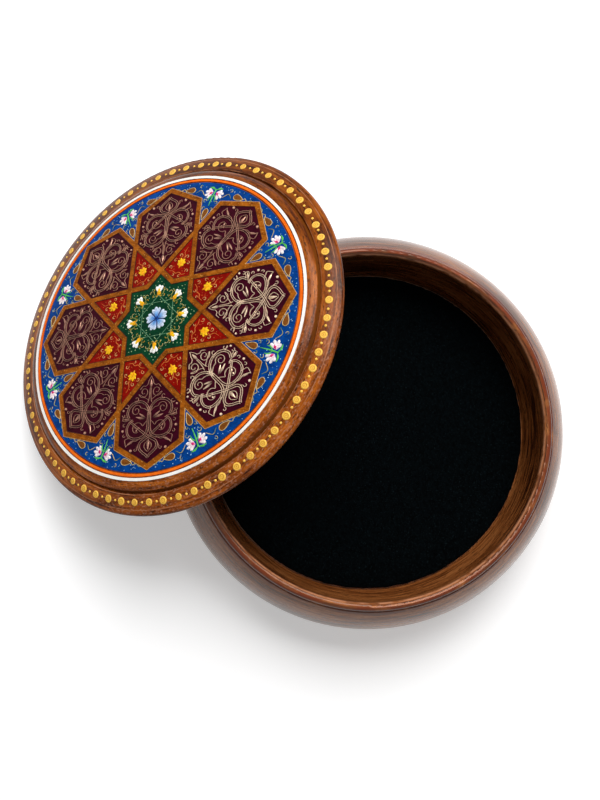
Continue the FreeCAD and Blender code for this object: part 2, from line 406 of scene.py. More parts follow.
@dataclass
class Ornament:
    """Strokes, dots and leaves laid on the dome, gathered into one mesh with a colour at each point.

    A drawing is mirrored to the current side and turned to the current fold before it is laid.
    """

    dome: Dome
    turn: float = 0.0
    side: int = 1
    points: list[Array] = field(default_factory=list)
    tints: list[Array] = field(default_factory=list)
    faces: list[list[int]] = field(default_factory=list)
    count: int = 0

    def fold(self, turn: float, side: int = 1) -> None:
        """Sets the fold's angle and the side for the next drawings."""
        self.turn, self.side = turn, side

    def lay(self, drawing: Array) -> Array:
        """Plan points of a drawing on the current side of the current fold."""
        return turned(np.asarray(drawing, float) * (1, self.side), self.turn)

    def add(self, points: Array, tints: Array, faces: list[Array]) -> None:
        """Adds points to the mesh.

        Args:
            points: Places in the frame, in metres.
            tints: Colour at each point, or one for all.
            faces: Corner numbers of each face, counted from the first of these points.
        """
        self.points.append(points.reshape(-1, 3))
        self.tints.append(np.broadcast_to(tints, (*points.shape[:-1], 3)).reshape(-1, 3))
        self.faces.extend((face + self.count).tolist() for face in faces)
        self.count += len(self.points[-1])

    def stroke(
        self,
        drawing: Array,
        width: Array | float,
        height: Array | float,
        tints: Tints,
        profile: Profile = Profile.BRUSH,
        closed: bool = False,
    ) -> None:
        """Carries a profile along a path on the dome.

        Each point is the path's point, moved square to the path by a share of half the width and up by a share
        of the height. The colour goes evenly from the first to the last.

        Args:
            drawing: Plan points of the path.
            width: Full width at each point.
            height: Height at each point above the paint.
            tints: First and last colour of the stroke, or one for both.
            profile: Section of the stroke.
            closed: Whether the path runs back to its start.
        """
        path = self.lay(drawing)
        across, up = (np.array(shares) for shares in profile.value)
        n, m = len(path), len(across)
        half = np.broadcast_to(width, (n,)) / 2
        plan = path[:, None, :] + normals(path, closed)[:, None, :] * (half[:, None] * across)[..., None]
        lift = np.broadcast_to(height, (n,))[:, None] * up
        first, last = (np.array(tint.value) for tint in (tints if isinstance(tints, tuple) else (tints, tints)))
        shade = first + (last - first) * np.linspace(0, 1, n)[:, None, None]
        caps = [] if closed else [np.arange(m)[::-1], np.arange(m) + (n - 1) * m]
        self.add(self.dome.place(plan, lift), np.repeat(shade, m, axis=1), [*grid_quads(n, m, closed), *caps])

    def tapered(
        self, line: Array, width: float, ends: Pair, height: float, tints: Tints, profile: Profile = Profile.BRUSH
    ) -> None:
        """A stroke along a line that swells from one end's share of the width and thins to the other's."""
        self.stroke(line, width * swell(len(line), *ends), height, tints, profile)

    def dots(self, drawing: Array | list, radius: Array | float, height: float, tint: Tint, sides: int = 6) -> None:
        """Sets low round drops: a rim ring sunk in the paint, a ring at seven tenths, and a top point.

        Args:
            drawing: Plan points of the middles.
            radius: Radius of each drop.
            height: Height of the drops above the paint.
            tint: Their colour.
            sides: Number of points round a drop.
        """
        drop = Disc((1.0, 0.7), (-0.4, 0.72, 1.0), sides)
        centres = self.lay(drawing)
        reach = np.broadcast_to(radius, (len(centres),))[:, None, None]
        lift = drop.spread(np.array(drop.lifts)) * height
        for spot in self.dome.place(centres[:, None, :] + drop.plan() * reach, lift):
            self.add(spot, np.array(tint.value), drop.faces())

    def leaf(
        self,
        start: Spot,
        end: Spot,
        width: float,
        height: float,
        tints: Tints,
        bend: float = 0.0,
        shape: Array | None = None,
    ) -> None:
        """Draws a dab: a stroke whose middle is moved sideways by a share of its length, lower where it is narrow.

        Args:
            start: Plan point of its base.
            end: Plan point of its tip.
            width: Full width where it is widest.
            height: Height there above the paint.
            tints: Colour at base and tip, or one for both.
            bend: Share of the length that it is bowed by.
            shape: Shares of the full width from base to tip, or a lens if there is none.
        """
        a, b = np.asarray(start, float), np.asarray(end, float)
        bow = bend * np.array([a[1] - b[1], b[0] - a[0]])
        path = smooth_line([a, (a + b) / 2 + bow, b], np.linalg.norm(b - a) / LEAF_STEPS)
        along = np.linspace(0, 1, len(path))
        lens = swell(len(path), LEAF_POINT, LEAF_POINT, 0.5)
        share = lens if shape is None else np.interp(along, np.linspace(0, 1, len(shape)), shape)
        self.stroke(path, width * share, height * (LEAF_LOW + (1 - LEAF_LOW) * share), tints)

    def build(self, name: str, material: Material) -> Piece:
        """Makes the gathered mesh a piece that rides on the lid."""
        return make_piece(name, np.concatenate(self.points), self.faces, material, "lid", np.concatenate(self.tints))


class Nodes:
    """A node tree, with short calls to add nodes and join them."""

    def __init__(self, tree: bpy.types.NodeTree) -> None:
        """Takes the tree that nodes are added to."""
        self.tree = tree

    def join(self, source: Socket | float | tuple, target: Socket) -> None:
        """Links a socket to an input, or sets the input to a plain value.

        Args:
            source: Socket, number, vector or colour.
            target: Input socket.
        """
        if isinstance(source, bpy.types.NodeSocket):
            self.tree.links.new(source, target)
        else:
            target.default_value = (*source, 1.0) if target.type == "RGBA" else source

    def node(self, kind: str, inputs: dict | None = None, **settings: object) -> bpy.types.Node:
        """Adds a node.

        Args:
            kind: The node's type, without the ShaderNode in front.
            inputs: Sockets and values for its inputs, by name or number.
            settings: Its own settings.

        Returns:
            The new node.
        """
        made = self.tree.nodes.new(f"ShaderNode{kind}")
        for key, value in settings.items():
            setattr(made, key, value)
        for key, value in (inputs or {}).items():
            self.join(value, made.inputs[key])
        return made

    def math(self, operation: str, *values: Socket | float) -> Socket:
        """One sum on plain numbers."""
        return self.node("Math", dict(enumerate(values)), operation=operation).outputs[0]

    def vector(self, operation: str, *values: Socket | tuple, output: str = "Vector") -> Socket:
        """One sum on vectors."""
        return self.node("VectorMath", dict(enumerate(values)), operation=operation).outputs[output]


class Graph(Nodes):
    """A material's node tree, which ends in one Principled shader."""

    def __init__(self, name: str) -> None:
        """Starts the material.

        Args:
            name: Its name.
        """
        self.material = bpy.data.materials.new(name)
        self.material.use_nodes = True
        super().__init__(self.material.node_tree)
        self.tree.nodes.clear()
        self.shader = self.node("BsdfPrincipled")
        self.node("OutputMaterial", {"Surface": self.shader.outputs[0]})

    def noise(
        self, place: Socket, scale: float, detail: float = 3.0, roughness: float = 0.55, w: Socket | None = None
    ) -> Socket:
        """Adds soft noise.

        Args:
            place: Coordinates that it is read at.
            scale: Changes to a unit of them.
            detail: Number of finer layers.
            roughness: Weight of each finer layer.
            w: A fourth coordinate, where there is one.

        Returns:
            The noise, about a half on average.
        """
        inputs = {"Vector": place, "Scale": scale, "Detail": detail, "Roughness": roughness}
        if w:
            inputs["W"] = w
        return self.node("TexNoise", inputs, noise_dimensions="4D" if w else "3D").outputs["Fac"]

    def ramp(self, share: Socket, *stops: tuple[float, Colour | float]) -> Socket:
        """Adds a run of colours.

        Args:
            share: Where along the run each point is.
            stops: Places on the run, each with a colour or a grey.

        Returns:
            The colour at that share.
        """
        made = self.node("ValToRGB", {0: share})
        ends = made.color_ramp.elements
        while len(ends) < len(stops):
            ends.new(0.5)
        for end, (place, colour) in zip(ends, stops):
            end.position = place
            end.color = (*colour, 1.0) if isinstance(colour, tuple) else (colour, colour, colour, 1.0)
        return made.outputs[0]

    def mix(self, share: Socket | float, a: Socket | Colour, b: Socket | Colour, blend: str = "MIX") -> Socket:
        """Two colours mixed by a share."""
        return self.node("Mix", {0: share, 6: a, 7: b}, data_type="RGBA", blend_type=blend).outputs[2]

    def place(self, matrix: Matrix | None = None) -> Socket:
        """Adds object coordinates.

        Args:
            matrix: The lid's drawing in the frame, where they are laid back onto that.

        Returns:
            The coordinates, in metres.
        """
        spot = self.node("TexCoord").outputs["Object"]
        if matrix is None:
            return spot
        back = {"Vector": spot, "Location": matrix.translation * MM, "Rotation": matrix.to_euler("XYZ")}
        return self.node("Mapping", back, vector_type="TEXTURE").outputs[0]

    def bump(self, height: Socket, distance: float, strength: float) -> None:
        """Fine relief in the shading: the height times a distance in millimetres, weighed by strength."""
        relief = self.node("Bump", {"Height": height, "Distance": distance * MM, "Strength": strength})
        self.join(relief.outputs[0], self.shader.inputs["Normal"])

    def finish(self, **values: Socket | float | Colour) -> Material:
        """Sets the shader's inputs.

        Args:
            values: Values and sockets, by the inputs' names in small letters joined by underscores.

        Returns:
            The finished material.
        """
        names = {socket.name.lower().replace(" ", "_"): socket for socket in self.shader.inputs}
        for name, value in values.items():
            self.join(value, names[name])
        return self.material


class LathePlace:
    """Coordinates on a turned piece: direction round its axis, distance from it and height along it."""

    def __init__(self, g: Graph, matrix: Matrix | None) -> None:
        """Adds the nodes that work them out.

        Args:
            g: Tree of the finish.
            matrix: The lid's drawing in the frame, where the piece is turned about that axis.
        """
        self.g = g
        self.spot = g.place(matrix)
        flat = g.vector("MULTIPLY", self.spot, (1.0, 1.0, 0.0))
        self.ring = g.vector("NORMALIZE", flat)
        self.reach = g.vector("LENGTH", flat, output="Value")
        self.rise = g.vector("MULTIPLY", self.spot, (0.0, 0.0, 1.0))
        self.height = g.vector("DOT_PRODUCT", self.spot, (0.0, 0.0, 1.0), output="Value")

    def streaks(self, kind: Streak) -> Socket:
        """Adds noise on the unit circle round the axis, drawn out by a high rate up and outwards.

        Args:
            kind: Rates, detail and roughness of the marks.

        Returns:
            The noise, about a half on average.
        """
        round_rate, fine_rate, detail, roughness = kind.value
        lengthwise = self.g.vector("MULTIPLY", self.ring, (round_rate,) * 3)
        upward = self.g.vector("MULTIPLY", self.rise, (fine_rate,) * 3)
        outward = self.g.math("MULTIPLY", self.reach, fine_rate)
        return self.g.noise(self.g.vector("ADD", lengthwise, upward), 1.0, detail, roughness, outward)


@dataclass(frozen=True)
class LatheLine:
    """A ring of colour on the turned wood, some of them painted light: its radius, half its width, the height that it
    lies above, and its colour.
    """

    radius: float
    half: float
    above: float
    colour: Colour
    dashed: bool = False
    fade: Stops = ((0.4, 1.0), (1.0, 0.0))


@dataclass(frozen=True)
class TurnedWood:
    """Lacquered wood turned on a lathe, its streaks running round parallel to the rim.

    Light and shade are painted across it: the wood is palest on its lit side, at one angle round its axis, and on the
    opposite, shaded side it has only that share of its tone. Stops are places on the noise with the greys that they
    give, and a relief is a depth and a strength.
    """

    name: str
    dark: Colour
    mid: Colour
    light: Colour
    coat: float
    shine: float
    lit_side: float
    shaded_side_share: float
    polish: Pair
    lines: tuple[LatheLine, ...]
    matrix: Matrix | None = None
    glint: Colour = (1.0, 0.58, 0.40)
    contrast: Triple = (0.40, 0.49, 0.59)
    # Painted glare: pale specks where fine noise peaks, only towards the lit side.
    glare_specks: float = 0.0
    glare_colour: Colour = (0.85, 0.50, 0.36)
    glare_side: Stops = ((0.76, 0.0), (0.96, 1.0))
    glare_peaks: Pair = (0.52, 0.68)
    figure: float = 0.40
    reach: float = 80.0
    flecks: Stops = ((0.32, 0.22), (0.45, 1.0))
    dash_stops: Stops = ((0.38, 0.10), (0.54, 1.0))
    pore_depth: float = 0.8
    relief: Pair = (0.14, 0.35)
    coat_roughness: float = 0.09

    def heart(self, g: Graph, spot: Socket) -> Socket:
        """Works out the share of full tone for the painted side light, which goes evenly across from the shaded to
        the lit side.

        Args:
            g: Tree of the finish.
            spot: Coordinates on the piece.

        Returns:
            One at the lit side's reach, and the shaded side's share opposite.
        """
        way = math.radians(self.lit_side)
        direction = (math.cos(way) / (self.reach * MM), math.sin(way) / (self.reach * MM), 0.0)
        across = g.vector("DOT_PRODUCT", spot, direction, output="Value")
        return g.math("MULTIPLY_ADD", across, 0.5 - 0.5 * self.shaded_side_share, 0.5 + 0.5 * self.shaded_side_share)

    def scored(self, g: Graph, lathe: LathePlace, colour: Socket) -> Socket:
        """Draws the lathe lines, faded at their sides, and broken into dashes by noise where so marked.

        Args:
            g: Tree of the finish.
            lathe: Coordinates on the piece.
            colour: Colour of the wood.

        Returns:
            The colour of the wood with its lines.
        """
        dashes = g.ramp(lathe.streaks(Streak.DASHES), *self.dash_stops)
        for line in self.lines:
            off = g.math("ABSOLUTE", g.math("SUBTRACT", lathe.reach, line.radius * MM))
            share = g.ramp(g.math("DIVIDE", off, line.half * MM), *line.fade)
            share = g.math("MULTIPLY", share, g.math("GREATER_THAN", lathe.height, line.above * MM))
            if line.dashed:
                share = g.math("MULTIPLY", share, dashes)
            colour = g.mix(share, colour, line.colour)
        return colour

    def material(self) -> Material:
        """Makes the finish: three tones along the streaks, times the painted side shade and dark pores, with painted
        glare specks.

        Returns:
            The finished material.
        """
        g = Graph(self.name)
        lathe = LathePlace(g, self.matrix)
        figure, grain, pores = (lathe.streaks(kind) for kind in (Streak.FIGURE, Streak.GRAIN, Streak.PORES))
        tone = g.math("ADD", g.math("MULTIPLY", figure, self.figure), g.math("MULTIPLY", grain, 1 - self.figure))
        colour = g.ramp(tone, *zip(self.contrast, (self.dark, self.mid, self.light)))
        heart = self.heart(g, lathe.spot)
        # Multiplies in the painted side shade, lighter towards the lit side, then the dark pores.
        for shade in (g.ramp(heart, (0.0, 0.0), (1.0, 1.0)), g.ramp(pores, *self.flecks)):
            colour = g.mix(1.0, colour, shade, "MULTIPLY")
        # Painted glare specks, faded in towards the lit side.
        if self.glare_specks:
            peaks = g.ramp(lathe.streaks(Streak.GLARE_SPECKS), *zip(self.glare_peaks, (0.0, self.glare_specks)))
            colour = g.mix(g.math("MULTIPLY", peaks, g.ramp(heart, *self.glare_side)), colour, self.glare_colour)
        colour = self.scored(g, lathe, colour)
        g.bump(g.math("ADD", g.math("MULTIPLY", pores, self.pore_depth), grain), *self.relief)
        return g.finish(
            base_color=colour,
            roughness=g.ramp(grain, *zip(NOISE_ENDS, self.polish)),
            specular_ior_level=self.shine,
            specular_tint=self.glint,
            coat_weight=self.coat,
            coat_roughness=self.coat_roughness,
        )


@dataclass(frozen=True)
class FieldPaint:
    """Lacquered paint of one field, mottled by the brush.

    Noises are a rate to a metre, a detail and a roughness.
    """

    name: str
    colour: Colour
    shade: Colour
    matrix: Matrix
    fleck: Colour | None = None
    cloud_noise: Triple = (320.0, 5.0, 0.6)
    stroke_rates: Triple = (300.0, 1900.0, 600.0)
    fleck_noise: Pair = (1500.0, 1.0)
    clouds: float = 0.6
    mottle: Stops = ((0.38, 0.0), (0.62, 1.0))
    fleck_peaks: Stops = ((0.64, 0.0), (0.72, 0.75))
    relief: Pair = (0.06, 0.22)
    roughness: Pair = (0.28, 0.44)
    shine: float = 0.035

    def material(self) -> Material:
        """Mixes the two colours by cloudy noise and brush strokes, with flecks where fine noise peaks.

        Returns:
            The finished material.
        """
        g = Graph(self.name)
        spot = g.place(self.matrix)
        cloud = g.noise(spot, *self.cloud_noise)
        strokes = g.noise(g.vector("MULTIPLY", spot, self.stroke_rates), 1.0)
        blend = g.math("ADD", g.math("MULTIPLY", cloud, self.clouds), g.math("MULTIPLY", strokes, 1 - self.clouds))
        colour = g.mix(g.ramp(blend, *self.mottle), self.shade, self.colour)
        if self.fleck:
            peaks = g.ramp(g.noise(spot, *self.fleck_noise), *self.fleck_peaks)
            colour = g.mix(peaks, colour, self.fleck)
        g.bump(g.math("ADD", cloud, strokes), *self.relief)
        rough = g.ramp(cloud, *zip(NOISE_ENDS, self.roughness))
        return g.finish(base_color=colour, roughness=rough, specular_ior_level=self.shine)


@dataclass(frozen=True)
class BrushPaint:
    """Thick brush paint that takes its colour from the strokes."""

    name: str
    rough: float = 0.42
    metal: float = 0.0
    grip: float = 0.25
    rough_ends: Pair = (0.12, -0.08)
    grit_rate: float = 1400.0
    wear: Pair = (0.28, 0.6)
    relief: Pair = (0.08, 0.3)
    shine: float = 0.1

    def material(self) -> Material:
        """Darkens the stroke's own colour by fine noise.

        Returns:
            The finished material.
        """
        g = Graph(self.name)
        own = g.node("Attribute", attribute_name="tint").outputs["Color"]
        grit = g.noise(g.place(), self.grit_rate)
        worn = g.ramp(grit, *zip(self.wear, (1.0 - 2 * self.grip, 1.0)))
        colour = g.mix(1.0, own, worn, "MULTIPLY")
        g.bump(grit, *self.relief)
        rough = g.ramp(grit, *zip(NOISE_ENDS, (self.rough + more for more in self.rough_ends)))
        return g.finish(base_color=colour, roughness=rough, metallic=self.metal, specular_ior_level=self.shine)


@dataclass(frozen=True)
class VelvetPile:
    """Near-black velvet with a faint bluish nap."""

    name: str = "black_velvet"
    nap: tuple[tuple[float, Colour], ...] = ((0.36, (0.0001, 0.0003, 0.0004)), (0.64, (0.0008, 0.0018, 0.0023)))
    nap_noise: Triple = (900.0, 4.0, 0.65)
    nap_stretch: Triple = (1.0, 0.75, 1.0)
    lint: Stops = ((0.62, 0.0), (0.74, 1.0))
    lint_noise: Pair = (1900.0, 2.0)
    lint_share: float = 0.5
    lint_colour: Colour = (0.014, 0.026, 0.030)
    relief: Pair = (0.5, 0.6)
    roughness: float = 0.95
    shine: float = 0.02
    sheen: Pair = (0.006, 0.45)

    def material(self) -> Material:
        """Lays patches of nap from soft noise, and specks of fibre where fine noise peaks.

        Returns:
            The finished material.
        """
        g = Graph(self.name)
        spot = g.place()
        nap = g.noise(g.vector("MULTIPLY", spot, self.nap_stretch), *self.nap_noise)
        lint = g.ramp(g.noise(spot, *self.lint_noise), *self.lint)
        colour = g.mix(g.math("MULTIPLY", lint, self.lint_share), g.ramp(nap, *self.nap), self.lint_colour)
        g.bump(nap, *self.relief)
        return g.finish(
            base_color=colour,
            roughness=self.roughness,
            specular_ior_level=self.shine,
            sheen_weight=self.sheen[0],
            sheen_roughness=self.sheen[1],
        )


def read_points(mesh: bpy.types.Mesh) -> Array:
    """Reads where a mesh's points are.

    Args:
        mesh: The mesh.

    Returns:
        Their places, one a row.
    """
    flat = np.empty(len(mesh.vertices) * 3)
    mesh.vertices.foreach_get("co", flat)
    return flat.reshape(-1, 3)


@dataclass
class VelvetPad:
    """Padded round of velvet on the floor of the bowl, a little slack, drawn in at its foot.

    The side goes through points that lie so far in from the edge and so far up.
    """

    floor: float = 15.0
    edge: float = 68.2
    tuck: float = 1.8
    side: Stops = ((0.35, 0.5), (0.0, 1.3), (0.5, 2.1))
    shoulder: float = 1.6
    thickness: float = 2.7
    crown: float = 0.3
    lift: float = 0.02
    shrink: float = 0.1
    rows: int = 14
    sides: int = 160
    voxel: float = 1.5
    held_below: float = 0.9
    travel: float = 0.55
    frames: int = 20
    pressure: float = 4.0

    def section(self) -> Array:
        """Draws half of the pad's section: foot, side, shoulder and low crown, from axis to axis.

        Returns:
            Distances from the axis with heights, in millimetres.
        """
        r, base = self.edge - self.shrink, self.floor + self.lift
        top = base + self.thickness
        foot = np.linspace((0.0, base), (r - self.tuck, base), self.rows)
        side = [(r - inwards, base + up) for inwards, up in self.side]
        crown = np.linspace((r - self.shoulder, top), (0.0, top + self.crown), self.rows)
        return np.concatenate([foot, side, crown])

    def blank(self) -> Piece:
        """Turns the section round the axis and closes it at both poles.

        Returns:
            The plain pad.
        """
        line = self.section()
        radius, height = line[1:-1, :1], line[1:-1, 1:]
        turn = np.linspace(0, 2 * math.pi, self.sides, endpoint=False)
        grid = np.stack([radius * np.cos(turn), radius * np.sin(turn), np.repeat(height, self.sides, 1)], axis=-1)
        n, m = grid.shape[:2]
        points = np.concatenate([grid.reshape(-1, 3), [[0, 0, line[0, 1]], [0, 0, line[-1, 1]]]]) * MM
        faces = [*grid_quads(n, m), *fan(0, m, n * m), *fan((n - 1) * m, m, n * m + 1)]
        pad = make_piece("velvet_pad", points, [face.tolist() for face in faces], VelvetPile().material(), "bowl")
        return pad

    def kept_in(self, rest: Array, filled: Array) -> Array:
        """Caps the travel of each point, and keeps it above the floor and inside the edge.

        Args:
            rest: Places before the pressure, in metres.
            filled: Places after it.

        Returns:
            Rest plus the capped move, lifted to the floor and drawn in to the edge.
        """
        move = filled - rest
        length = np.linalg.norm(move, axis=1, keepdims=True) + TINY
        placed = rest + move * np.minimum(1, self.travel * MM / length)
        placed[:, 2] = np.maximum(placed[:, 2], self.floor * MM)
        reach = np.linalg.norm(placed[:, :2], axis=1, keepdims=True) + TINY
        placed[:, :2] *= np.minimum(1, self.edge * MM / reach)
        return placed

    def inflate(self, pad: Piece) -> None:
        """Remeshes the blank evenly and lets cloth pressure fill it, with its foot held and its travel capped.

        Args:
            pad: The plain pad.
        """
        bpy.context.view_layer.objects.active = pad
        pad.data.remesh_voxel_size = self.voxel * MM
        bpy.ops.object.voxel_remesh()
        rest = read_points(pad.data)
        held = pad.vertex_groups.new(name="held")
        held.add(np.flatnonzero(rest[:, 2] < (self.floor + self.held_below) * MM).tolist(), 1.0, "REPLACE")
        cloth = pad.modifiers.new("cloth", "CLOTH")
        cloth.settings.vertex_group_mass = "held"
        cloth.settings.use_pressure = True
        cloth.settings.uniform_pressure_force = self.pressure
        cloth.settings.effector_weights.gravity = 0.0
        cloth.point_cache.frame_end = self.frames
        scene = bpy.context.scene
        for step in range(1, self.frames + 1):
            scene.frame_set(step)
        filled = read_points(pad.evaluated_get(bpy.context.evaluated_depsgraph_get()).data)
        pad.modifiers.remove(cloth)
        pad.data.vertices.foreach_set("co", self.kept_in(rest, filled).astype(np.float32).ravel())
        pad.data.polygons.foreach_set("use_smooth", np.ones(len(pad.data.polygons), bool))
        pad.data.update()
        scene.frame_set(1)

    def build(self) -> Piece:
        """Makes the finished pad, in place of the plain one.

        Returns:
            The pad.
        """
        pad = self.blank()
        self.inflate(pad)
        smooth = pad.modifiers.new("smooth", "SUBSURF")
        smooth.levels = smooth.render_levels = 1
        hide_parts("velvet_lining")
        return pad


@dataclass
class DottedBand:
    """Gold coins and small dots in turn round the lid's outer band, spaced by hand: closer on one side."""

    dome: Dome
    count: int = 65
    ring: float = 73.6
    large: float = 1.62
    small: float = 0.58
    first: float = 87.2
    drift: float = 0.075
    sparse: float = -30.0
    uneven: Pair = (0.04, 0.05)
    height: float = 0.22
    outer: Pair = (77.5538, 2.85)
    inner: Pair = (70.9, 4.9)
    curve: float = 26.0
    coin: Disc = Disc((1.0, 0.86, 0.62, 0.5, 0.26), (-0.4, 0.75, 0.95, 0.62, 1.0, 0.7), 12)
    dot: Disc = Disc((1.0, 0.7), (-0.4, 0.7, 1.0), 12)
    seed: int = 7

    def on_band(self, around: Array, out: Array, height: Array) -> Array:
        """Lays points on the band's round section, an arc through both of its edges.

        Args:
            around: Angle of each point round the lid's axis, in radians.
            out: Its distance outwards along the arc from the coins' middle.
            height: Its height above the arc.

        Returns:
            Places in the frame, in metres.
        """
        a, b = np.array(self.outer), np.array(self.inner)
        chord = b - a
        rise = math.sqrt(self.curve**2 - np.dot(chord, chord) / 4)
        centre = (a + b) / 2 + rise * np.array([-chord[1], chord[0]]) / np.linalg.norm(chord)
        turn = math.acos((self.ring - centre[0]) / self.curve) - out / self.curve
        reach = self.curve + height
        radius = centre[0] + reach * np.cos(turn)
        up = centre[1] + reach * np.sin(turn)
        return self.dome.pose.to_frame(np.stack([radius * np.cos(around), radius * np.sin(around), up], axis=-1))

    def discs(self, work: Ornament, disc: Disc, tints: list[Array], angles: Array, sizes: Array) -> None:
        """Sets raised discs on the band.

        Args:
            work: Mesh that they are added to.
            disc: Their shape.
            tints: Colour of each ring and of the top.
            angles: Angle of each round the lid's axis, in radians.
            sizes: Radius of each.
        """
        lift, tint = disc.spread(np.array(disc.lifts)) * self.height, disc.spread(np.array(tints))
        for angle, size in zip(angles, sizes):
            plan = disc.plan() * size
            work.add(self.on_band(angle + plan[:, 0] / self.ring, plan[:, 1], lift), tint, disc.faces())

    def build(self, gold: Material) -> Piece:
        """Sets all coins and dots.

        Args:
            gold: Their finish.

        Returns:
            One piece of them all.
        """
        work = Ornament(self.dome)
        rng = np.random.default_rng(self.seed)
        step = 2 * math.pi / self.count
        even = math.radians(self.first) + np.arange(self.count) * step
        drift = self.drift * np.sin(even - math.radians(self.sparse))
        angles = even + drift + rng.normal(0, self.uneven[0] * step, self.count)
        sizes = self.large * rng.normal(1, self.uneven[1], self.count)
        gilt, groove = np.array(Tint.COIN.value), np.array(Tint.COIN_RING.value)
        self.discs(work, self.coin, [gilt * 0.8, gilt, gilt, groove, gilt, groove], angles, sizes)
        self.discs(work, self.dot, [gilt, gilt, gilt * 1.1], angles + step / 2, np.full(self.count, self.small))
        return work.build("gold_dots", gold)


@dataclass
class PanelScrolls:
    """Raised gold scrollwork on one aubergine panel, alike on both sides of the panel's axis.

    Stems are bands with a ridge along each edge, tendrils single ridges. Places are (outwards, across) from the
    panel's middle, in millimetres, for one side.
    """

    dome: Dome
    middle: float = 41.2
    relief: float = 0.34
    band_share: float = 0.6
    leaf_share: float = 0.8
    boss_share: float = 1.2
    boss_sides: int = 10
    spread: float = 0.42
    # Painted light: panels four and five get the lit gold, panels six to eight the half-lit and one to three the
    # shaded copies.
    panel_light: tuple[GildingLight, ...] = (
        GildingLight.SHADED, GildingLight.SHADED, GildingLight.SHADED, GildingLight.LIT,
        GildingLight.LIT, GildingLight.HALF_LIT, GildingLight.HALF_LIT, GildingLight.HALF_LIT,
    )

    def stems(self) -> list[Array]:
        """Draws the bands' middle lines: pointed arch with its crossing bar, upper loop and lower loop.

        Returns:
            Plan points of each line.
        """
        return [
            smooth_line([(15.9, 0.0), (14.9, 0.9), (13.8, 2.5), (12.4, 3.9), (11.0, 4.2), (9.7, 3.5), (8.6, 1.6),
                         (7.4, -0.5), (5.6, -3.0), (3.2, -6.2), (0.8, -9.3)]),
            smooth_line([(-4.4, -1.0), (-1.5, 0.2), (1.5, 0.4), (4.6, 0.5), (6.9, 1.6), (8.0, 4.0), (8.0, 7.0),
                         (6.8, 9.5), (4.4, 10.5), (2.0, 9.8), (0.5, 7.8)]),
            smooth_line([(-0.3, 9.6), (-2.4, 10.5), (-4.9, 9.6), (-6.5, 7.1), (-6.6, 4.1), (-5.2, 1.7), (-3.0, 0.1),
                         (-1.0, -0.5)]),
        ]

    def tendrils(self) -> list[Array]:
        """Draws the single ridges: leaf outlines, vines inside the loops, hooks outside them, and the tail.

        Returns:
            Plan points of each line.
        """
        return [
            smooth_line([(7.9, 3.6), (9.0, 5.6), (9.0, 7.4), (9.6, 9.2), (10.9, 10.6)]),
            smooth_line([(7.0, 8.6), (7.6, 9.9), (8.3, 11.2), (10.9, 10.6)]),
            smooth_line([(0.9, 7.4), (0.1, 9.3), (0.6, 11.2), (0.2, 12.8)]),
            smooth_line([(-1.2, 10.0), (-0.8, 11.2), (-1.3, 12.4), (0.2, 12.8)]),
            volute((4.3, 5.6), (2.9, 1.3), (250, -30), [(1.4, 0.9), (2.2, 1.8)]),
            volute((-3.2, 6.3), (2.4, 0.6), (250, -250), [(-2.4, 0.7), (-3.6, 2.4)]),
            volute((-10.3, 3.1), (2.4, 0.5), (75, -400), [(-6.5, 0.4), (-7.4, 1.5)]),
            volute((-7.9, 6.5), (1.3, 0.4), (40, -250), [(-6.6, 4.8)]),
            volute((-5.6, 10.9), (1.1, 0.4), (60, -200), [(-4.4, 10.0)]),
            volute((-1.9, 12.3), (0.8, 0.3), (100, -150)),
            volute((12.4, 6.0), (0.9, 0.3), (-130, 150), [(10.6, 4.4)]),
            volute((6.5, 11.6), (0.8, 0.3), (160, -90)),
            volute((2.3, 11.8), (0.8, 0.3), (200, -60)),
            smooth_line([(9.4, 0.2), (10.6, 1.5), (12.0, 1.6), (13.6, 0.2)]),
            smooth_line([(-5.8, 0.9), (-8.2, 0.35), (-11.8, 0.25)]),
            smooth_line([(-12.6, 2.6), (-13.4, 1.4), (-14.6, 1.1), (-16.6, 0.0)]),
            smooth_line([(-11.6, 4.9), (-12.9, 3.6), (-12.6, 2.6)]),
        ]

    def leaves(self) -> list[tuple[Spot, Spot, float]]:
        """Draws the solid leaves: half palmettes, a fan in the low loop, and a trefoil.

        Returns:
            Start, end and width of each.
        """
        clover = np.array([4.2, 5.8])
        return [
            ((8.2, 6.2), (10.3, 10.3), 1.1), ((0.1, 9.4), (-0.3, 12.4), 0.9), ((0.6, 2.0), (-0.6, 6.4), 1.1),
            ((0.3, 1.6), (-1.9, 4.9), 1.0), *((clover, clover + polar(1.3, lean), 0.9) for lean in (10, 130, 250)),
        ]

    def bosses(self) -> list[tuple[Pair, float]]:
        """Small round bosses: place and radius."""
        return [((12.6, 8.2), 0.66), ((4.4, 12.6), 0.6), ((-3.9, 12.7), 0.5)]

    def build(self, number: int, gold: Material) -> Piece:
        """Makes the scrollwork of one panel.

        Args:
            number: Number of the panel, from one.
            gold: Finish of the gilding.

        Returns:
            The panel's scrollwork as one piece.
        """
        work = Ornament(self.dome)
        ridge, band, wide = self.panel_light[number - 1].value
        middle = np.array([self.middle, 0.0])
        for side in MIRROR:
            work.fold((number - 1) * STEP + HALF_STEP, side)
            for line in self.stems():
                path = line + middle
                apart = self.spread * swell(len(path), 0.8, 0.6)
                work.stroke(path, 2 * apart, self.relief * self.band_share, band)
                out = normals(path) * apart[:, None]
                for edge in (path + out, path - out):
                    work.stroke(edge, wide, self.relief, ridge, Profile.WIRE)
            for line in self.tendrils():
                work.tapered(line + middle, wide, (0.8, 0.8), self.relief, ridge, Profile.WIRE)
            for start, end, width in self.leaves():
                work.leaf(middle + start, middle + end, width, self.relief * self.leaf_share, (band, ridge))
            for spot, radius in self.bosses():
                work.dots([middle + spot], radius, self.relief * self.boss_share, ridge, self.boss_sides)
        for start, end, width in (((8.2, 0), (12.8, 0), 1.5), ((-11.4, 0), (-15.2, 0), 1.4)):
            work.leaf(middle + start, middle + end, width, self.relief, (band, ridge))
        return work.build(f"gold_scrolls_{number}", gold)


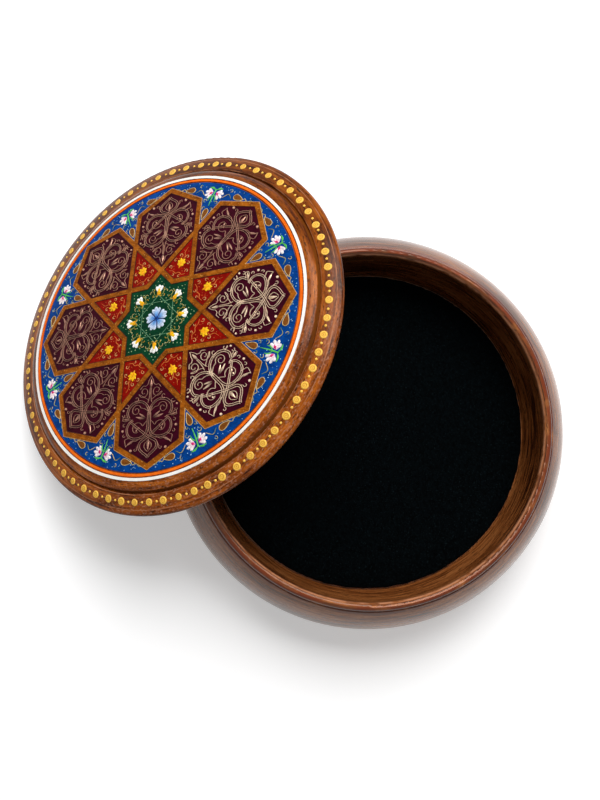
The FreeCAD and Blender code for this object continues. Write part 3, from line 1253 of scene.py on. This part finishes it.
@dataclass
class StarGarden:
    """Flowers, vines and fine lines in the green star."""

    dome: Dome
    petals: int = 5
    first: float = 12.0
    bloom: float = 5.3
    flower_ring: float = 12.6
    loose: int = 13
    loose_ring: Pair = (6.3, 14.2)
    spot_size: Pair = (0.2, 0.32)
    seed: int = 5

    def centre(self, work: Ornament) -> None:
        """Draws the five-petalled flower: each petal three teeth fanned from the middle, with dark lines between.

        Args:
            work: Mesh that it is added to.
        """
        for k in range(self.petals):
            work.fold(360 / self.petals * k + self.first)
            for lean, share, width in ((-21, 0.92, 2.0), (21, 0.92, 2.0), (0, 1.0, 2.2)):
                tip = polar(self.bloom * share, lean)
                work.leaf((0.7, 0), tip, width, 0.17, (Tint.PETAL_BLUE, Tint.ICE), shape=petal_shape(12))
            for lean in (-14, 0, 14):
                work.leaf(polar(0.9, lean), polar(3.9, lean), 0.8, 0.22, (Tint.PETAL_BLUE, Tint.SKY))
            between = 180 / self.petals
            work.leaf(polar(0.6, between), polar(4.6, between), 0.42, 0.20, Tint.DARK_BLUE)
        work.fold(0.0)
        work.dots([(0, 0)], 1.15, 0.24, Tint.DARK_BLUE, 12)
        work.dots(polar(0.62, 60 * np.arange(6)), 0.2, 0.33, Tint.PETAL_BLUE)

    def flowers(self, work: Ornament) -> None:
        """Draws eight bell flowers: broad white petals outwards from a yellow cup, with two leaves at the base.

        Args:
            work: Mesh that they are added to.
        """
        r = self.flower_ring
        cup = petal_shape(10)[::-1] ** 0.5
        for k in range(FOLDS):
            work.fold(HALF_STEP + STEP * k)
            for lean, reach in ((-1.3, 1.9), (1.3, 1.9), (0.0, 2.5)):
                base, tip = (r - 0.8, lean * 0.35), (r + reach, lean * 1.15)
                work.leaf(base, tip, 1.9, 0.2, Tint.WHITE, shape=petal_shape(10))
            work.leaf((r - 2.1, 0), (r + 0.7, 0), 2.3, 0.25, (Tint.DEEP_YELLOW, Tint.YELLOW), shape=cup)
            for side in MIRROR:
                work.fold(HALF_STEP + STEP * k, side)
                work.leaf((r - 2.0, 0.1), (r - 2.6, 1.9), 0.7, 0.16, (Tint.DEEP_YELLOW, Tint.VINE), 0.2)

    def lines(self, work: Ornament) -> None:
        """Draws two fine squares through the flower bases.

        Args:
            work: Mesh that they are added to.
        """
        side = evenly(polar(self.flower_ring - 2.2, np.array([0, 2 * STEP])), 0.8)
        for k in range(FOLDS):
            work.fold(HALF_STEP + STEP * k)
            work.stroke(side, 0.26, 0.08, Tint.THREAD, Profile.WIRE)

    def vines(self, work: Ornament) -> None:
        """Draws curling tendrils between the flowers with small leaves, alike in each fold.

        Args:
            work: Mesh that they are added to.
        """
        curl = smooth_line([(9.6, 3.4), (10.9, 2.3), (12.4, 2.3), (13.0, 1.2), (12.2, 0.5)])
        for k in range(FOLDS):
            for side in MIRROR:
                work.fold(STEP * k, side)
                work.stroke(curl, 0.24, 0.09, (Tint.VINE, Tint.PALE_GOLD))
                for start, end in (((11.0, 2.1), (10.0, 1.1)), ((12.3, 2.4), (13.6, 2.7))):
                    work.leaf(start, end, 0.40, 0.1, (Tint.VINE, Tint.DEEP_YELLOW), 0.2)

    def spots(self, work: Ornament) -> None:
        """Sets pale dots in the star's points, and others scattered by seed over the green.

        Args:
            work: Mesh that they are added to.
        """
        points = np.array(
            [(17.8, 0.0), (16.7, 0.9), (16.4, -0.9), (15.2, 2.0), (15.0, -2.1), (13.4, 3.3), (13.3, -3.1)]
        )
        rng = np.random.default_rng(self.seed)
        for k in range(FOLDS):
            work.fold(HALF_STEP + STEP * k)
            reach = rng.uniform(*self.loose_ring, self.loose)
            angle = rng.uniform(-HALF_STEP, HALF_STEP, self.loose)
            for group in (points, polar(reach, angle)):
                work.dots(group, rng.uniform(*self.spot_size, len(group)), 0.1, Tint.DOT)

    def build(self, paint: Material) -> list[Piece]:
        """Makes the middle flower, and the rest of the garden.

        Args:
            paint: Finish of both.

        Returns:
            Two pieces.
        """
        bloom, garden = Ornament(self.dome), Ornament(self.dome)
        self.centre(bloom)
        for part in (self.flowers, self.lines, self.vines, self.spots):
            part(garden)
        return [bloom.build("centre_flower", paint), garden.build("star_garden", paint)]


@dataclass
class KiteSprays:
    """A yellow flower with fine scrolls in each red kite."""

    dome: Dome
    heart: float = 24.7

    def build(self, paint: Material) -> Piece:
        """Makes all eight sprays, in each a lily, a wavy stem and curls.

        Args:
            paint: Their finish.

        Returns:
            One piece of them all.
        """
        work = Ornament(self.dome)
        heart = np.array([self.heart, 0.0])
        base = smooth_line([(21.0, -4.3), (20.3, -2.6), (20.9, -1.0), (20.2, 0.6), (20.9, 2.4), (20.6, 4.3)])
        stem = smooth_line([(26.6, 0.1), (28.2, -0.5), (30.0, 0.5), (32.4, 0.0)])
        curls = (
            volute((22.3, 4.4), (0.95, 0.3), (-140, 160)),
            volute((28.2, 1.7), (0.95, 0.3), (-130, 190)),
            volute((25.7, 3.3), (0.85, 0.3), (-40, 260)),
            volute((19.3, 1.6), (0.7, 0.25), (40, -220)),
        )
        for k in range(FOLDS):
            work.fold(STEP * k)
            for lean, reach in ((-112, 1.7), (112, 1.7), (-62, 2.3), (62, 2.3), (-24, 2.6), (24, 2.6)):
                work.leaf(heart, heart + polar(reach, lean), 1.8, 0.2, (Tint.DEEP_YELLOW, Tint.YELLOW))
            work.leaf(heart - (2.1, 0), heart + (0.4, 0), 1.2, 0.24, Tint.DEEP_YELLOW)
            work.tapered(base, 0.42, (0.5, 0.5), 0.1, Tint.SCROLL)
            work.tapered(stem, 0.36, (1, 0.3), 0.1, Tint.SCROLL)
            for side in MIRROR:
                work.fold(STEP * k, side)
                for curl in curls:
                    work.tapered(curl, 0.34, (0.8, 0.6), 0.1, (Tint.SCROLL, Tint.PALE_GOLD))
                work.dots([(23.0, 2.9), (30.6, 1.2), (26.6, 1.9), (21.8, 2.2)], 0.22, 0.09, Tint.SCROLL)
        return work.build("kite_sprays", paint)


@dataclass
class GroundFlowers:
    """Lotus pairs, drop leaves and tendrils on the blue ground between the panels."""

    dome: Dome
    root: float = 59.3
    drop_width: float = 2.9
    outer_spots: int = 26
    outer_ring: Pair = (59.6, 62.2)
    outer_angles: Pair = (-20, 20)
    inner_spots: int = 10
    inner_field: tuple[Pair, Pair] = ((51, 57), (-4.6, 4.6))
    spot_size: Pair = (0.14, 0.26)
    seed: int = 11

    def lotus(self, work: Ornament, turn: float) -> None:
        """Draws two blooms either side of a green stem, their petals fanned inwards and sideways.

        Args:
            work: Mesh that they are added to.
            turn: Angle of the fold.
        """
        root = np.array([self.root, 0.0])
        base = root + (-1.0, 0.95)
        for side in MIRROR:
            work.fold(turn, side)
            for lean, reach in ((152, 3.6), (122, 4.0), (92, 3.8), (64, 2.9)):
                tip = base + polar(reach, lean)
                work.leaf(base, tip, 1.75, 0.19, (Tint.BLUSH, Tint.WHITE), shape=petal_shape(10))
            work.leaf(base, base + (-1.4, 1.5), 1.5, 0.25, Tint.PINK)
            work.leaf(root + (0.2, 0.2), root + (1.0, 3.6), 1.0, 0.17, Tint.LEAF, -0.12)
            work.leaf(root + (-2.2, 0.1), root + (-5.2, 1.6), 0.8, 0.14, Tint.LEAF, -0.2)
        work.fold(turn)
        stem = smooth_line(root + [(0.6, 0), (-3.4, 0.15), (-7.4, 0)])
        work.tapered(stem, 0.7, (1, 0.3), 0.15, Tint.LEAF)

    def drop(self, work: Ornament, start: Array, end: Array) -> None:
        """Draws a brown drop leaf with a yellow outline, half the drop's width either side of its axis.

        Args:
            work: Mesh that it is added to.
            start: Plan point of its round end.
            end: Plan point of its tip.
        """
        shape = drop_shape(14)
        axis = np.linspace(start, end, len(shape))
        out = normals(axis) * (self.drop_width / 2 * shape)[:, None]
        work.stroke(axis, self.drop_width * shape, 0.12, Tint.LEAF_BROWN)
        work.stroke(np.concatenate([axis + out, (axis - out)[::-1]]), 0.28, 0.17, Tint.PALE_GOLD, closed=True)

    def tendrils(self, work: Ornament) -> None:
        """Draws one side's yellow curls from the lotus to the corner.

        Args:
            work: Mesh that they are added to.
        """
        run = np.array([(56.6, 4.8), (58.8, 7.2), (57.4, 9.4)])
        far = np.array([(58.0, 14.4), (59.8, 15.8), (58.9, 17.4), (60.4, 18.8), (60.0, 20.4), (59.3, 20.0)])
        for line in (
            smooth_line(polar(*run.T)),
            smooth_line(polar(*far.T)),
            volute((53.6, 3.0), (1.0, 0.3), (-70, 230)),
            volute((50.6, 1.9), (0.8, 0.3), (160, -120)),
            volute((60.3, 8.0), (0.8, 0.3), (190, -100)),
        ):
            work.tapered(line, 0.34, (0.6, 0.5), 0.1, (Tint.PALE_GOLD, Tint.VINE))
        work.leaf(polar(59.6, 17.0), polar(58.6, 18.4), 0.6, 0.12, (Tint.PALE_GOLD, Tint.VINE), 0.15)

    def build(self, paint: Material) -> Piece:
        """Makes all eight corners, with dots scattered by seed.

        Args:
            paint: Their finish.

        Returns:
            One piece of them all.
        """
        work = Ornament(self.dome)
        rng = np.random.default_rng(self.seed)
        for k in range(FOLDS):
            turn = STEP * k
            self.lotus(work, turn)
            self.drop(work, np.array([50.4, 0.0]), np.array([45.0, 0.0]))
            for side in MIRROR:
                work.fold(turn, side)
                self.drop(work, polar(58.9, 10.2), polar(59.0, 15.2))
                self.tendrils(work)
            work.fold(turn)
            outer = [rng.uniform(*span, self.outer_spots) for span in (self.outer_ring, self.outer_angles)]
            inner = [rng.uniform(*span, self.inner_spots) for span in self.inner_field]
            spots = np.concatenate([polar(*outer), np.stack(inner, axis=1)])
            work.dots(spots, rng.uniform(*self.spot_size, len(spots)), 0.08, Tint.SKY)
        return work.build("ground_flowers", paint)


@dataclass
class StrapLines:
    """Fine dark lines along the straps' edges inside the star, and painted highlights along the straps' edges where
    the star meets the ground.

    A line is a width and a height.
    """

    dome: Dome
    half: float = 15.3
    strap: float = 1.0
    tip: float = 60.7
    slope: float = 30.0
    inset: float = 0.12
    margin: float = 0.1
    spacing: float = 0.5
    dark_line: Pair = (0.34, 0.18)
    edge_highlight: Pair = (0.24, 0.16)

    def panel(self, grown: float) -> Array:
        """Outlines a long panel along its axis.

        Args:
            grown: Distance that the outline is moved out from the strap's middle.

        Returns:
            Six plan points: inner tip, inner and outer corner, outer tip, and the other two corners.
        """
        half, inner = self.half + grown, (self.half - grown) * math.sqrt(2)
        tip = self.tip + grown / math.cos(math.radians(self.slope))
        corner = tip - half * math.tan(math.radians(self.slope))
        side = [(inner, 0), (inner + half, -half), (corner, -half), (tip, 0)]
        return np.array([*side, (corner, half), (inner + half, half)])

    def kite(self, grown: float) -> Array:
        """Outlines a kite along its axis: its tips and sides are where the moved strap edges cross.

        Args:
            grown: Distance that the outline is moved out.

        Returns:
            Four plan points.
        """
        inside, outside = self.half - self.strap + grown, self.half + self.strap - grown
        steep, flat = math.radians(3 * HALF_STEP), math.radians(HALF_STEP)
        x = inside * math.cos(steep) + outside * math.cos(flat)
        y = inside * math.sin(steep) - outside * math.sin(flat)
        return np.array([(inside / math.cos(steep), 0), (x, y), (outside / math.cos(flat), 0), (x, -y)])

    def star(self, grown: float) -> Array:
        """Outlines the inner star, tips and notches in turn.

        Args:
            grown: Distance that the outline is moved out.

        Returns:
            Sixteen plan points.
        """
        k = np.arange(2 * FOLDS)
        reach = (self.half - self.strap + grown) / np.cos(np.radians(HALF_STEP * (1 + k % 2)))
        return polar(reach, HALF_STEP * k)

    def rim(self) -> Array:
        """Draws a panel's outer edge on the ground, from where its neighbours' straps cross it.

        Returns:
            Plan points of the line.
        """
        grown = self.strap + self.margin
        corner, tip = self.panel(grown)[2:4]
        crossing = (self.half + grown) / math.tan(math.radians(HALF_STEP))
        ends = [(crossing, -corner[1]), corner * (1, -1), tip, corner, (crossing, corner[1])]
        return evenly(np.array(ends), self.spacing)

    def build(self, paint: Material) -> Piece:
        """Draws all lines, each dark one a thin closed stroke just inside its field.

        Args:
            paint: Their finish.

        Returns:
            One piece of them all.
        """
        work = Ornament(self.dome)
        fields = [(self.star(-self.inset), 0.0)]
        for k in range(FOLDS):
            fields.append((self.kite(-self.inset), STEP * k))
            fields.append((self.panel(-self.strap - self.inset), STEP * k + HALF_STEP))
        for outline, turn in fields:
            work.fold(turn)
            path = evenly(np.vstack([outline, outline[:1]]), self.spacing)[:-1]
            work.stroke(path, *self.dark_line, Tint.OUTLINE, Profile.WIRE, closed=True)
        # Painted highlights along each panel's outer strap edge.
        for k in range(FOLDS):
            work.fold(STEP * k + HALF_STEP)
            work.stroke(self.rim(), *self.edge_highlight, Tint.EDGE, Profile.WIRE)
        return work.build("strap_lines", paint)


@dataclass(frozen=True)
class Studio:
    """Pale floor, soft light and the photograph's camera."""

    target: Triple = (-28.23, 14.43, 0.0)
    distance: float = 386.5
    elevation: float = 84.66
    azimuth: float = 1.79
    roll: float = -1.73
    lens: float = 38.28
    sensor: float = 36.0
    sight: float = 20000.0
    floor_half: float = 6000.0
    floor_drop: float = 0.2
    floor_grey: float = 0.80
    glow: Pair = (0.38, 0.86)
    glow_span: Pair = (450.0, 1500.0)
    sky: Pair = (0.18, 1.0)
    lamp_place: Triple = (100.0, 680.0, 920.0)
    lamp_aim: Triple = (-20.0, 0.0, 0.0)
    lamp_size: Pair = (900.0, 700.0)
    lamp_power: float = 17.8

    def camera(self) -> None:
        """Sets the camera over the table: tipped from straight down, turned and rolled, with no shift."""
        tip, azimuth, roll = (math.radians(a) for a in (90 - self.elevation, self.azimuth, self.roll))
        turn = Matrix.Rotation(azimuth, 3, "Z") @ Matrix.Rotation(tip, 3, "X") @ Matrix.Rotation(roll, 3, "Z")
        data = bpy.data.cameras.new("camera")
        data.lens = self.lens
        data.sensor_width = self.sensor
        data.clip_end = self.sight * MM
        camera = add_object("camera", data)
        camera.location = (Vector(self.target) + turn @ Vector((0, 0, self.distance))) * MM
        camera.rotation_euler = turn.to_euler()
        bpy.context.scene.camera = camera

    def seen(self, g: Nodes) -> Socket:
        """Tells the rays that show a thing from those that light it.

        Args:
            g: Tree that the answer is used in.

        Returns:
            One for camera, glossy and transmission rays, and nought for the rest.
        """
        path = g.node("LightPath").outputs
        mirrored = g.math("MAXIMUM", path["Is Camera Ray"], path["Is Glossy Ray"])
        return g.math("MAXIMUM", mirrored, path["Is Transmission Ray"])

    def floor(self) -> None:
        """Lays a wide pale sheet under the box.

        Its own white is added for seen rays, more of it far away, so that it keeps the shadow.
        """
        material = bpy.data.materials.new("pale_floor")
        material.use_nodes = True
        material.node_tree.nodes.clear()
        g = Nodes(material.node_tree)
        away = g.vector("LENGTH", g.node("TexCoord").outputs["Object"], output="Value")
        ends = (*(distance * MM for distance in self.glow_span), *self.glow)
        fade = dict(zip(("Value", "From Min", "From Max", "To Min", "To Max"), (away, *ends)))
        white = g.node("MapRange", fade, interpolation_type="SMOOTHSTEP").outputs[0]
        glow = g.node("Emission", {"Strength": g.math("MULTIPLY", self.seen(g), white)}).outputs[0]
        plain = g.node("BsdfDiffuse", {"Color": (self.floor_grey,) * 3}).outputs[0]
        g.node("OutputMaterial", {"Surface": g.node("AddShader", {0: plain, 1: glow}).outputs[0]})
        half, low = self.floor_half * MM, -self.floor_drop * MM
        places = [(-half, -half, low), (half, -half, low), (half, half, low), (-half, half, low)]
        mesh = bpy.data.meshes.new("floor")
        mesh.from_pydata(places, [], [(0, 1, 2, 3)])
        mesh.materials.append(material)
        floor = add_object("floor", mesh)

    def light(self) -> None:
        """Makes a soft even sky that is white where it is seen, and one large lamp from behind."""
        world = bpy.data.worlds.new("studio")
        bpy.context.scene.world = world
        world.use_nodes = True
        g = Nodes(world.node_tree)
        background = world.node_tree.nodes["Background"].inputs
        white = g.node("MapRange", {"Value": self.seen(g), "To Min": self.sky[0], "To Max": self.sky[1]})
        g.join(white.outputs[0], background["Strength"])
        g.join((1.0, 1.0, 1.0), background["Color"])
        lamp = bpy.data.lights.new("softbox", "AREA")
        lamp.shape = "RECTANGLE"
        lamp.size, lamp.size_y = (size * MM for size in self.lamp_size)
        lamp.energy = self.lamp_power
        softbox = add_object("softbox", lamp)
        place, aim = Vector(self.lamp_place) * MM, Vector(self.lamp_aim) * MM
        softbox.location = place
        softbox.rotation_euler = (aim - place).to_track_quat("-Z", "Y").to_euler()

    def build(self) -> None:
        """The whole stage, with plain view settings."""
        bpy.context.scene.view_settings.view_transform = "Standard"
        self.camera()
        self.floor()
        self.light()


@dataclass(frozen=True)
class Box:
    """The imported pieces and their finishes."""

    pose: LidPose = LidPose()

    def woods(self) -> dict[str, TurnedWood]:
        """Chooses the wood of bowl and lid.

        Returns:
            Finish of each, by the piece's name.
        """
        bowl = TurnedWood(
            name="bowl_wood",
            dark=(0.044, 0.010, 0.0025),
            mid=(0.235, 0.068, 0.015),
            light=(0.43, 0.152, 0.042),
            coat=0.12,
            shine=0.33,
            # Painted light: the bowl is lighter towards this side and shaded on the opposite one.
            lit_side=-50.0,
            shaded_side_share=0.38,
            polish=(0.26, 0.11),
            lines=(
                LatheLine(72.8, 2.6, 39.5, (0.150, 0.022, 0.003), dashed=True),
                # Dark red zone where the rim bead meets the neck groove: the lacquer's colour with painted groove
                # shade.
                LatheLine(73.7, 1.5, 39.0, (0.070, 0.007, 0.001), dashed=True),
                # Painted highlight along the rim's inner edge.
                LatheLine(70.25, 0.35, 41.0, (0.46, 0.20, 0.10), dashed=True),
                LatheLine(71.0, 0.22, 42.0, (0.016, 0.004, 0.001), dashed=True),
            ),
        )
        lid = TurnedWood(
            name="lid_wood",
            dark=(0.050, 0.008, 0.001),
            mid=(0.250, 0.054, 0.003),
            light=(0.50, 0.130, 0.009),
            coat=0.0,
            shine=0.12,
            # Painted light: the lid is lighter towards this side and shaded on the opposite one.
            lit_side=140.0,
            shaded_side_share=0.42,
            polish=(0.24, 0.14),
            lines=(
                # Painted shade in the groove between the shoulder and the dotted band.
                LatheLine(69.75, 0.34, 2.0, (0.140, 0.040, 0.006)),
                # Painted highlights on the band's inner edge and near the lid's outer edge.
                LatheLine(70.75, 0.22, 2.0, (0.40, 0.165, 0.075), dashed=True),
                LatheLine(76.4, 0.18, 2.0, (0.36, 0.14, 0.06), dashed=True),
            ),
            matrix=self.pose.matrix(),
            glint=(1.0, 0.80, 0.70),
            contrast=(0.385, 0.49, 0.61),
            # Painted glare specks on the lid's lit side.
            glare_specks=0.20,
        )
        return {"bowl": bowl, "lid": lid}

    def paints(self) -> dict[str, FieldPaint]:
        """Chooses the colour, the shade and the flecks of each painted field.

        Returns:
            Finish of each, by the first words of its pieces' names.
        """
        chosen = {
            "green_star": ("green_paint", (0.001, 0.044, 0.016), (0.0008, 0.020, 0.008), None),
            "red_kite": ("red_paint", (0.26, 0.003, 0.0005), (0.13, 0.002, 0.0005), (0.36, 0.03, 0.01)),
            "purple_panel": ("purple_paint", (0.040, 0.0006, 0.008), (0.020, 0.0004, 0.004), None),
            "strapwork": ("strap_paint", (0.35, 0.098, 0.006), (0.13, 0.030, 0.002), (0.56, 0.26, 0.05)),
            "blue_ground": ("blue_paint", (0.001, 0.054, 0.27), (0.001, 0.025, 0.13), None),
            "orange_ring": ("orange_paint", (0.88, 0.170, 0.010), (0.70, 0.100, 0.005), None),
            "white_ring": ("white_paint", (0.88, 0.87, 0.84), (0.80, 0.77, 0.71), None),
        }
        local = self.pose.matrix()
        return {stem: FieldPaint(*colours, local, fleck) for stem, (*colours, fleck) in chosen.items()}

    def dress(self) -> None:
        """Gives every carried-over piece its finish."""
        made = {stem: finish.material() for stem, finish in {**self.woods(), **self.paints()}.items()}
        for name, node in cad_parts.items():
            material = made.get(name.rstrip("_0123456789"))
            if material:
                node.data.materials.clear()
                node.data.materials.append(material)
                LOG.info("%s: %s", name, material.name)


def main() -> None:
    """Builds the stage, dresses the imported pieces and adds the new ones."""
    logging.basicConfig(level=logging.INFO, format="%(message)s")
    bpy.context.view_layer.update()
    Studio().build()
    Box().dress()
    dome = Dome()
    brush = BrushPaint("brush_paint").material()
    relief = BrushPaint("relief_gold", rough=0.30, metal=0.50, grip=0.20).material()
    coin = BrushPaint("coin_gold", rough=0.4, metal=0.05, grip=0.15).material()
    VelvetPad().build()
    DottedBand(dome).build(coin)
    for number in range(1, FOLDS + 1):
        PanelScrolls(dome).build(number, relief)
    StarGarden(dome).build(brush)
    KiteSprays(dome).build(brush)
    GroundFlowers(dome).build(brush)
    StrapLines(dome).build(brush)


if __name__ == "__main__":
    main()
